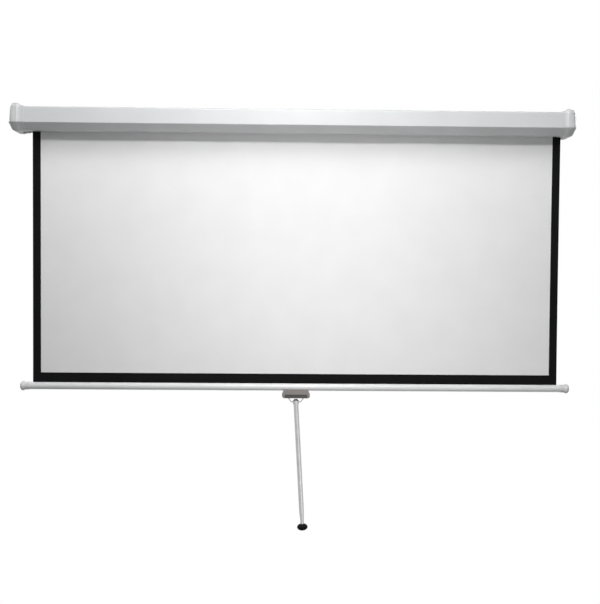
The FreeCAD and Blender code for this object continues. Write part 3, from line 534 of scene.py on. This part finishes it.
hem_low, hem_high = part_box("hem_band")
hem_rows = [(hem_high.z - down * MM, half * MM) for down, half in HEM_PROFILE]
hem_rows += [(hem_low.z, HEM_EDGE * MM)]
hem_columns = spread(hem_low.x, hem_high.x, PANEL_COLUMNS)
hem_front = [[(x, panel_middle - half, z) for x in hem_columns] for z, half in hem_rows]
hem_back = [[(x, panel_middle + half, z) for x in hem_columns] for z, half in hem_rows]
hem_build = sheet_between(hem_front, hem_back, [0] * PANEL_COLUMNS, 0, 0)
hem = new_piece("cloth_hem", hem_build, [border_black], "bar")
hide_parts("hem_band")


# What stays on the roller: a spiral of cloth, its black back outward.

ROLL_TURNS = 1.9
ROLL_STEPS = 150
ROLL_INSIDE = 0.1 * MM
ROLL_CLOTH = 0.38 * MM

roll_low, roll_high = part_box("fabric_wrap")
tube_low, tube_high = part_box("roller_tube")
roll_centre = (roll_low + roll_high) / 2
roll_radius = (roll_high.z - roll_low.z) / 2
tube_radius = (tube_high.z - tube_low.z) / 2
roll_columns = [roll_low.x, roll_low.x + BORDER_WIDTH, roll_high.x - BORDER_WIDTH, roll_high.x]


def roll_point(x, share, off):
    """A point of the spiral at a share of its length, off outward from the cloth's inner face."""
    angle = 2 * math.pi * ROLL_TURNS * (1 - share)
    growth = roll_radius - ROLL_CLOTH - tube_radius - ROLL_INSIDE
    radius = tube_radius + ROLL_INSIDE + growth * share + off
    return (x, roll_centre.y + radius * math.cos(angle), roll_centre.z - radius * math.sin(angle))


def roll_face(off):
    """The points of one face of the rolled cloth."""
    return [[roll_point(x, share, off) for x in roll_columns] for share in spread(0, 1, ROLL_STEPS)]


roll_build = sheet_between(roll_face(0), roll_face(ROLL_CLOTH), [BLACK, WHITE, BLACK], BACK, BLACK)
roll = new_piece("cloth_roll", roll_build, cloth_finishes, "roller")
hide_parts("fabric_wrap")


# World: white to the camera, mirrors and glass, and a faint light to everything else

AMBIENT = 0.03
BACKDROP = 1

world = bpy.data.worlds.new("studio")
world.use_nodes = True
bpy.context.scene.world = world
ambient = world.node_tree.nodes["Background"]
backdrop = add_node(world, "ShaderNodeBackground")
for light, strength in ((ambient, AMBIENT), (backdrop, BACKDROP)):
    light.inputs["Color"].default_value = WHITE_LIGHT
    light.inputs["Strength"].default_value = strength
lit_or_seen = add_node(world, "ShaderNodeMixShader")
join(world, seen_rays(world), lit_or_seen.inputs["Fac"])
join(world, ambient.outputs["Background"], lit_or_seen.inputs[1])
join(world, backdrop.outputs["Background"], lit_or_seen.inputs[2])
join(world, lit_or_seen.outputs["Shader"], world.node_tree.nodes["World Output"].inputs["Surface"])


# The floor lies below the camera's view and fades to white towards its edge.

FLOOR_DROP = 3.2
FLOOR_MIDDLE = -1.0
FLOOR_REACH = 3.0
FLOOR_SHADED = 1.0
FLOOR_GLOW = 0.66
FLOOR_CORNERS = [(-1, -1), (1, -1), (1, 1), (-1, 1)]

floor_build = bmesh.new()
floor_points = [floor_build.verts.new((x * FLOOR_REACH, y * FLOOR_REACH, 0)) for x, y in FLOOR_CORNERS]
floor_build.faces.new(floor_points)
floor_mesh = bpy.data.meshes.new("floor")
floor_build.to_mesh(floor_mesh)
floor_build.free()

floor_paint = painted(
    "floor_paint", (0.86, 0.86, 0.86), roughness=(0.6, 0.75), peel_per_metre=90, peel_depth=0.2 * MM)
floor_distance = add_node(floor_paint, "ShaderNodeVectorMath", operation="LENGTH")
join(floor_paint, place_of(floor_paint), floor_distance.inputs["Vector"])
floor_fade = map_range(
    floor_paint, floor_distance.outputs["Value"], (FLOOR_SHADED, FLOOR_REACH), (FLOOR_GLOW, BACKDROP))
floor_glow = combine(floor_paint, "MULTIPLY", seen_rays(floor_paint), floor_fade)
floor_shader = floor_paint.node_tree.nodes["Principled BSDF"]
floor_shader.inputs["Emission Color"].default_value = WHITE_LIGHT
join(floor_paint, floor_glow, floor_shader.inputs["Emission Strength"])
floor_mesh.materials.append(floor_paint)

floor = bpy.data.objects.new("floor", floor_mesh)
floor.location = (0, FLOOR_MIDDLE, -FLOOR_DROP)
bpy.context.scene.collection.objects.link(floor)


# Lamps

SCREEN_CENTRE = Vector((0.0, 0.0, -0.35))


def add_lamp(name, place, size, watts):
    """A round lamp that points at the screen's centre and isn't seen itself."""
    data = bpy.data.lights.new(name, "AREA")
    data.shape = "DISK"
    data.size = size
    data.energy = watts
    lamp = bpy.data.objects.new(name, data)
    lamp.location = place
    lamp.rotation_euler = (SCREEN_CENTRE - lamp.location).to_track_quat("-Z", "Y").to_euler()
    lamp.visible_camera = False
    bpy.context.scene.collection.objects.link(lamp)


add_lamp("key_lamp", (0.0, -1.4, 0.86), size=0.3, watts=15)
add_lamp("top_lamp", (0.0, -1.2, 1.6), size=1.0, watts=26)
add_lamp("front_lamp", (0.06, -0.88, -0.48), size=0.4, watts=2.3)
add_lamp("low_lamp", (0.6, -1.0, -1.3), size=0.5, watts=2.2)
add_lamp("left_lamp", (-2.1, -0.7, 0.9), size=0.8, watts=3.5)
add_lamp("right_lamp", (2.1, -0.7, 0.9), size=0.8, watts=2.5)
add_lamp("left_back_lamp", (-2.4, 1.3, 0.7), size=1.2, watts=24)
add_lamp("right_back_lamp", (2.4, 1.3, 0.7), size=1.2, watts=24)


# Camera

CAMERA_PLACE = Vector((-0.0207, -2.5371, -0.4399))
CAMERA_YAW = math.radians(0.966)
CAMERA_PITCH = math.radians(-1.78)
CAMERA_ROLL = math.radians(0.454)
FOCAL_PIXELS = 867
SENSOR_MM = 36

camera_data = bpy.data.cameras.new("camera")
camera_data.sensor_width = SENSOR_MM
camera_data.sensor_fit = "AUTO"
camera_data.lens = FOCAL_PIXELS / max(IMAGE_WIDTH, IMAGE_HEIGHT) * SENSOR_MM
camera = bpy.data.objects.new("camera", camera_data)
bpy.context.scene.collection.objects.link(camera)
forward = Vector((
    math.sin(CAMERA_YAW) * math.cos(CAMERA_PITCH),
    math.cos(CAMERA_YAW) * math.cos(CAMERA_PITCH),
    math.sin(CAMERA_PITCH),
))
level_right = forward.cross(Vector((0, 0, 1))).normalized()
level_up = level_right.cross(forward)
right = level_right * math.cos(CAMERA_ROLL) + level_up * math.sin(CAMERA_ROLL)
up = right.cross(forward)
axes = Matrix((right, up, -forward)).transposed()
camera.matrix_world = Matrix.Translation(CAMERA_PLACE) @ axes.to_4x4()
bpy.context.scene.camera = camera
bpy.context.scene.view_settings.view_transform = "Standard"
